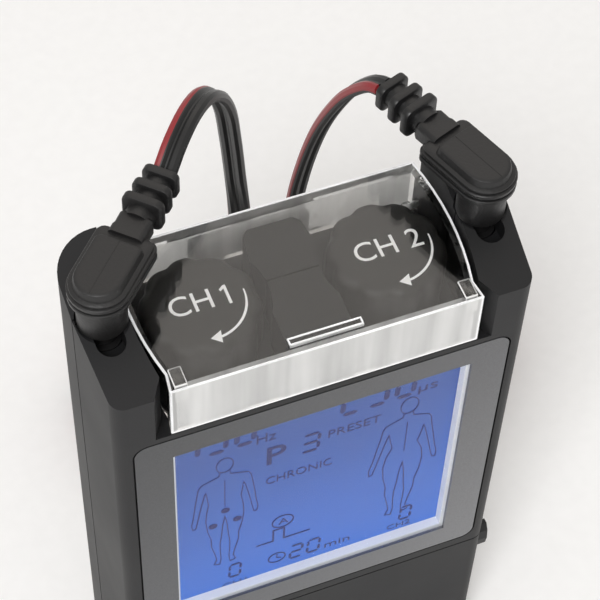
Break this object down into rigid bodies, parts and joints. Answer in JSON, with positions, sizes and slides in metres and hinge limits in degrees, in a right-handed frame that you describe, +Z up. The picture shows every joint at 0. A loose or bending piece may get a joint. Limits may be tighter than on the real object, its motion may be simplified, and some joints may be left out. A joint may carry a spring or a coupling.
{
  "type": "TENS unit",
  "caption": "Hand-held nerve stimulator standing on end, with a lit screen, a clear hinged cover over its intensity knobs, right-angle plugs in its shoulders and coiled twin leads.",
  "frame": {"origin": "bottom centre of the unit with its plugs, without its free leads", "axes": "+Z up along the standing unit, +X to the right seen from the front, +Y from the screen towards the back"},
  "size_m": [0.1035, 0.0905, 0.128],
  "materials": {
    "case_black": "fine satin moulding texture",
    "fascia_metal": "gun-metal paint",
    "clear_plastic": "polished clear moulding",
    "light_grey_plastic": "matt",
    "display_blue": "back-lit liquid-crystal cell",
    "circuit_green": "solder mask",
    "transformer_brown": "varnished winding and core",
    "button_grey": "matt silicone",
    "knob_black": "satin",
    "black_rubber": "soft moulded",
    "lead_black": "smooth flexible sheath",
    "steel": "plated",
    "battery_jacket": "printed steel jacket"
  },
  "bodies": {
    "case": {"front_shell": "case_black", "back_shell": "case_black", "bezel_plate": "fascia_metal", "display_window": "clear_plastic", "display_surround": "light_grey_plastic", "display_glass": "display_blue", "backlight": "light_grey_plastic", "circuit_board": "circuit_green", "transformer": "transformer_brown", "button_board": "circuit_green", "battery": "battery_jacket", "battery_snap": "black_rubber", "clip_pin": "steel", "case_screw_1": "steel", "case_screw_2": "steel", "case_screw_3": "steel", "case_screw_4": "steel", "cover_pin_left": "steel", "cover_pin_right": "steel", "door_pin_left": "steel", "door_pin_right": "steel", "ch1_pot": "steel", "ch2_pot": "steel", "ch1_socket": "black_rubber", "ch2_socket": "black_rubber", "ch1_lead": "lead_black", "ch1_coil": "lead_black", "ch1_tie": "black_rubber", "ch1_splitter": "black_rubber", "ch1_wire_a": "lead_black", "ch1_wire_b": "lead_black", "ch1_pin_a": "steel", "ch1_pin_b": "steel", "ch2_lead": "lead_black", "ch2_coil": "lead_black", "ch2_tie": "black_rubber", "ch2_splitter": "black_rubber", "ch2_wire_a": "lead_black", "ch2_wire_b": "lead_black", "ch2_pin_a": "steel", "ch2_pin_b": "steel"},
    "cover": {"knob_cover": "clear_plastic"},
    "front_door": {"front_door": "case_black"},
    "battery_door": {"battery_door": "case_black"},
    "belt_clip": {"belt_clip": "case_black"},
    "ch1_knob": {"ch1_knob": "knob_black", "ch1_shaft": "steel"},
    "ch1_plug": {"ch1_plug": "black_rubber", "ch1_plug_pin": "steel"},
    "ch2_knob": {"ch2_knob": "knob_black", "ch2_shaft": "steel"},
    "ch2_plug": {"ch2_plug": "black_rubber", "ch2_plug_pin": "steel"},
    "program_button": {"program_button": "button_grey"},
    "mode_button": {"mode_button": "button_grey"},
    "timer_button": {"timer_button": "button_grey"},
    "down_button": {"down_button": "button_grey"},
    "up_button": {"up_button": "button_grey"}
  },
  "joints": [
    {"name": "cover_hinge", "type": "hinge", "parent": "case", "child": "cover", "pos_m": [0, 0.00815, 0.1031], "axis": [-1, 0, 0], "range_deg": [0, 25]},
    {"name": "front_door_hinge", "type": "hinge", "parent": "case", "child": "front_door", "pos_m": [0, -0.01595, 0.0029], "axis": [1, 0, 0], "range_deg": [0, 90]},
    {"name": "battery_door_slide", "type": "slide", "parent": "case", "child": "battery_door", "axis": [0, 0, -1], "range_m": [0, 0.005]},
    {"name": "belt_clip_hinge", "type": "hinge", "parent": "case", "child": "belt_clip", "pos_m": [0, 0.01565, 0.092], "axis": [1, 0, 0], "range_deg": [0, 12], "stiffness_Nm_per_rad": 0.4, "springref_deg": -5.73},
    {"name": "ch1_knob_turn", "type": "hinge", "parent": "case", "child": "ch1_knob", "pos_m": [-0.0146, -0.00335, 0.106], "axis": [0, 0, -1], "range_deg": [0, 300]},
    {"name": "ch1_plug_pull", "type": "slide", "parent": "case", "child": "ch1_plug", "axis": [0, 0, 1], "range_m": [0, 0.012]},
    {"name": "ch2_knob_turn", "type": "hinge", "parent": "case", "child": "ch2_knob", "pos_m": [0.0146, -0.00335, 0.106], "axis": [0, 0, -1], "range_deg": [0, 300]},
    {"name": "ch2_plug_pull", "type": "slide", "parent": "case", "child": "ch2_plug", "axis": [0, 0, 1], "range_m": [0, 0.012]},
    {"name": "program_button_press", "type": "slide", "parent": "case", "child": "program_button", "axis": [0, 1, 0], "range_m": [0, 0.0005], "stiffness_N_per_m": 800},
    {"name": "mode_button_press", "type": "slide", "parent": "case", "child": "mode_button", "axis": [0, 1, 0], "range_m": [0, 0.0005], "stiffness_N_per_m": 800},
    {"name": "timer_button_press", "type": "slide", "parent": "case", "child": "timer_button", "axis": [0, 1, 0], "range_m": [0, 0.0005], "stiffness_N_per_m": 800},
    {"name": "down_button_press", "type": "slide", "parent": "case", "child": "down_button", "axis": [0, 1, 0], "range_m": [0, 0.0005], "stiffness_N_per_m": 800},
    {"name": "up_button_press", "type": "slide", "parent": "case", "child": "up_button", "axis": [0, 1, 0], "range_m": [0, 0.0005], "stiffness_N_per_m": 800}
  ]
}
